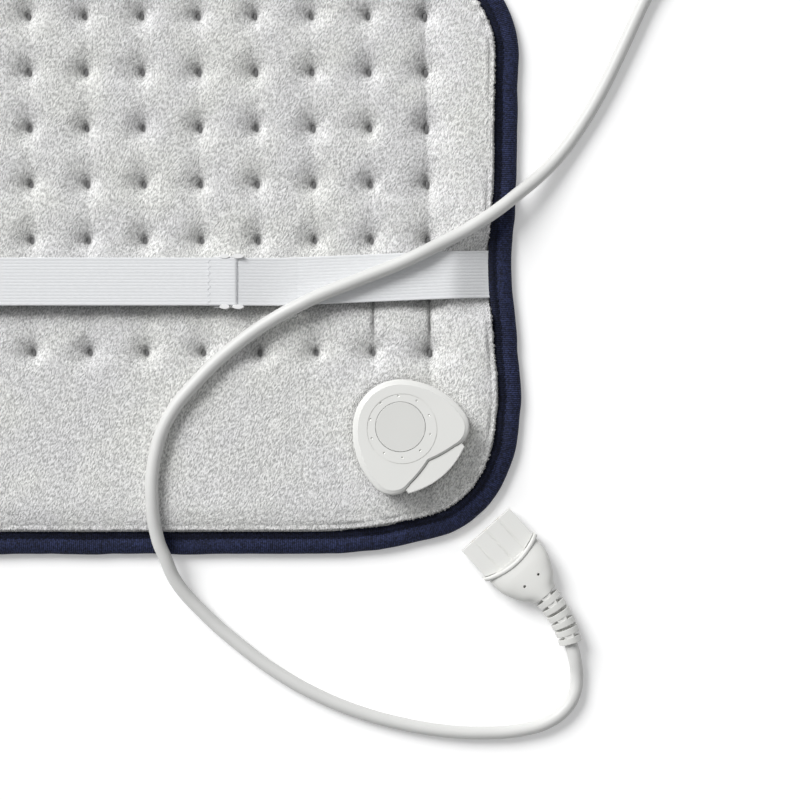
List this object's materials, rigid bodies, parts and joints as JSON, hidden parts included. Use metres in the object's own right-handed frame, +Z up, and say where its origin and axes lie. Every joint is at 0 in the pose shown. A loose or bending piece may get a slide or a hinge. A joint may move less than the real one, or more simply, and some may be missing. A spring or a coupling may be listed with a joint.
{
  "type": "heating pad with controller",
  "caption": "Quilted plush heating pad with bound edge, elastic strap and corner socket, its unplugged lead, and a hand controller with press buttons on the mains cord.",
  "frame": {"origin": "under the middle of the pad, on the surface it lies on", "axes": "+X along the pad's long side, +Y from the socket's side to the far side, +Z up through the pad"},
  "size_m": [0.4866, 0.5486, 0.026],
  "materials": {
    "plush": "short-pile plush",
    "lining": "woven and felted lining",
    "binding": "ribbed binding tape",
    "elastic": "ribbed woven elastic",
    "shell": "satin",
    "cord": "satin flexible sheath",
    "tie": "woven",
    "insulator": "matt",
    "button": "soft satin",
    "window": "polished",
    "board": "coated board",
    "contact": "plain",
    "metal": "plated"
  },
  "bodies": {
    "pad": {"top_cover": "plush", "bottom_cover": "lining", "lower_wadding": "lining", "wire_carrier": "lining", "upper_wadding": "lining", "edge_binding": "binding", "strap_band": "elastic", "strap_return": "elastic", "ring_tab": "elastic", "strap_ring": "shell", "socket_base": "shell", "socket_clamp": "shell", "socket_housing": "shell", "socket_cap": "shell", "socket_disc": "shell", "plug_nose": "shell", "plug_body": "shell", "plug_relief": "shell", "controller_top": "shell", "controller_bottom": "shell", "connector_boot": "shell", "mains_boot": "shell", "mains_plug_body": "shell", "mains_plug_relief": "shell", "connector_cord": "cord", "mains_lead": "cord", "mains_coil": "cord", "mains_tail": "cord", "heating_wire": "cord", "lead_wire_1": "cord", "lead_wire_2": "cord", "coil_tie": "tie", "contact_block": "insulator", "power_switch": "insulator", "plus_switch": "insulator", "minus_switch": "insulator", "level_window": "window", "controller_board": "board", "contact_pin_1": "contact", "contact_pin_2": "contact", "contact_pin_3": "contact", "plug_sleeve_1": "contact", "plug_sleeve_2": "contact", "plug_sleeve_3": "contact", "thermal_cutout_1": "metal", "thermal_cutout_2": "metal", "socket_screw_1": "metal", "socket_screw_2": "metal", "controller_screw_1": "metal", "controller_screw_2": "metal", "mains_pin_1": "metal", "mains_pin_2": "metal"},
    "strap_slider": {"strap_slider": "shell"},
    "power_button": {"power_button": "button", "power_plunger": "metal"},
    "plus_button": {"plus_button": "button", "plus_plunger": "metal"},
    "minus_button": {"minus_button": "button", "minus_plunger": "metal"}
  },
  "joints": [
    {"name": "strap_slide", "type": "slide", "parent": "pad", "child": "strap_slider", "axis": [1, 0, 0], "range_m": [-0.12, 0.015], "deforming": ["strap_return"]},
    {"name": "power_press", "type": "slide", "parent": "pad", "child": "power_button", "axis": [0, 0, -1], "range_m": [0, 0.0012], "stiffness_N_per_m": 1200},
    {"name": "plus_press", "type": "slide", "parent": "pad", "child": "plus_button", "axis": [0, 0, -1], "range_m": [0, 0.0012], "stiffness_N_per_m": 1200},
    {"name": "minus_press", "type": "slide", "parent": "pad", "child": "minus_button", "axis": [0, 0, -1], "range_m": [0, 0.0012], "stiffness_N_per_m": 1200}
  ]
}
